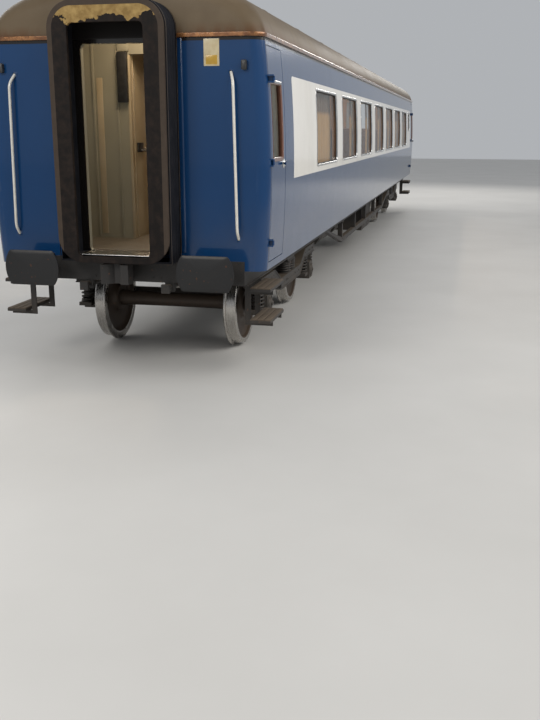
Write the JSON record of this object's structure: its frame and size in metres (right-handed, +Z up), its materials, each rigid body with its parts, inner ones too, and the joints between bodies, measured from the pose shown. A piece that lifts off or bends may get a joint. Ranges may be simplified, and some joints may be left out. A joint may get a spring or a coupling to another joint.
{
  "type": "passenger coach",
  "caption": "Full-size gangwayed railway passenger coach with slam doors, large saloon windows and swivelling bogies on flanged wheels.",
  "frame": {"origin": "middle of the coach in plan, at the tips of the wheel flanges", "axes": "+X along the coach towards end B, +Y to its left side, +Z up"},
  "size_m": [20.32, 2.9014, 3.8384],
  "materials": {
    "body_blue": "gloss blue paint with a white window band",
    "roof_grey": "satin warm grey paint",
    "gutter_gold": "satin tan paint",
    "underframe_black": "matt black paint with brake dust",
    "spring_steel": "oiled steel",
    "axlebox_iron": "dusty cast iron",
    "wheel_steel": "dark forged steel with bright treads",
    "bellows_rubber": "dark coated canvas",
    "window_glass": "clear toughened glass",
    "floor_covering": "speckled sheet flooring",
    "wood_panel": "varnished veneer",
    "seat_fabric": "woven wool moquette",
    "seat_base": "satin dark paint",
    "bright_metal": "polished",
    "handrail_white": "gloss white paint",
    "lamp_opal": "opal plastic"
  },
  "bodies": {
    "coach": {"roof": "roof_grey", "roof_ventilators": "roof_grey", "rain_gutter": "gutter_gold", "side_wall_left": "body_blue", "side_wall_right": "body_blue", "end_wall_a": "body_blue", "end_wall_b": "body_blue", "floor": "floor_covering", "underframe": "underframe_black", "window_glass_left": "window_glass", "window_glass_right": "window_glass", "gangway_bellows": "bellows_rubber", "gangway_faceplates": "underframe_black", "bulkheads": "wood_panel", "seat_cushions": "seat_fabric", "seat_frames": "seat_base", "tables": "wood_panel", "luggage_racks": "bright_metal", "ceiling_lamps": "lamp_opal", "underframe_boxes": "underframe_black", "brake_reservoirs": "underframe_black", "footsteps": "underframe_black", "end_handrails": "handrail_white", "end_sockets": "body_blue", "pipe_ends": "underframe_black", "buffers": "spring_steel", "couplers": "underframe_black"},
    "bogie_a": {"bogie_frame_a": "underframe_black", "bogie_bolster_a": "underframe_black", "bogie_springs_a": "spring_steel", "axleboxes_a": "axlebox_iron", "bogie_brakes_a": "underframe_black"},
    "wheels_1": {"wheelset_1": "wheel_steel"},
    "wheels_2": {"wheelset_2": "wheel_steel"},
    "bogie_b": {"bogie_frame_b": "underframe_black", "bogie_bolster_b": "underframe_black", "bogie_springs_b": "spring_steel", "axleboxes_b": "axlebox_iron", "bogie_brakes_b": "underframe_black"},
    "wheels_3": {"wheelset_3": "wheel_steel"},
    "wheels_4": {"wheelset_4": "wheel_steel"},
    "door_a_left": {"door_a_left": "body_blue", "door_glass_a_left": "window_glass"},
    "door_a_right": {"door_a_right": "body_blue", "door_glass_a_right": "window_glass"},
    "door_b_left": {"door_b_left": "body_blue", "door_glass_b_left": "window_glass"},
    "door_b_right": {"door_b_right": "body_blue", "door_glass_b_right": "window_glass"}
  },
  "joints": [
    {"name": "bogie_pivot_a", "type": "hinge", "parent": "coach", "child": "bogie_a", "pos_m": [-7.0865, 0, 0.9], "axis": [0, 0, 1], "range_deg": [-5, 5]},
    {"name": "wheel_spin_1", "type": "hinge", "parent": "bogie_a", "child": "wheels_1", "pos_m": [-8.382, 0, 0.485], "axis": [0, 1, 0], "continuous": true},
    {"name": "wheel_spin_2", "type": "hinge", "parent": "bogie_a", "child": "wheels_2", "pos_m": [-5.791, 0, 0.485], "axis": [0, 1, 0], "continuous": true},
    {"name": "bogie_pivot_b", "type": "hinge", "parent": "coach", "child": "bogie_b", "pos_m": [7.0865, 0, 0.9], "axis": [0, 0, 1], "range_deg": [-5, 5]},
    {"name": "wheel_spin_3", "type": "hinge", "parent": "bogie_b", "child": "wheels_3", "pos_m": [5.791, 0, 0.485], "axis": [0, 1, 0], "continuous": true},
    {"name": "wheel_spin_4", "type": "hinge", "parent": "bogie_b", "child": "wheels_4", "pos_m": [8.382, 0, 0.485], "axis": [0, 1, 0], "continuous": true},
    {"name": "door_hinge_a_left", "type": "hinge", "parent": "coach", "child": "door_a_left", "pos_m": [-9.0755, 1.428, 2.1], "axis": [0, 0, -1], "range_deg": [0, 100]},
    {"name": "door_hinge_a_right", "type": "hinge", "parent": "coach", "child": "door_a_right", "pos_m": [-9.701, -1.428, 2.1], "axis": [0, 0, -1], "range_deg": [0, 100]},
    {"name": "door_hinge_b_left", "type": "hinge", "parent": "coach", "child": "door_b_left", "pos_m": [9.701, 1.428, 2.1], "axis": [0, 0, -1], "range_deg": [0, 100]},
    {"name": "door_hinge_b_right", "type": "hinge", "parent": "coach", "child": "door_b_right", "pos_m": [9.0755, -1.428, 2.1], "axis": [0, 0, -1], "range_deg": [0, 100]}
  ]
}
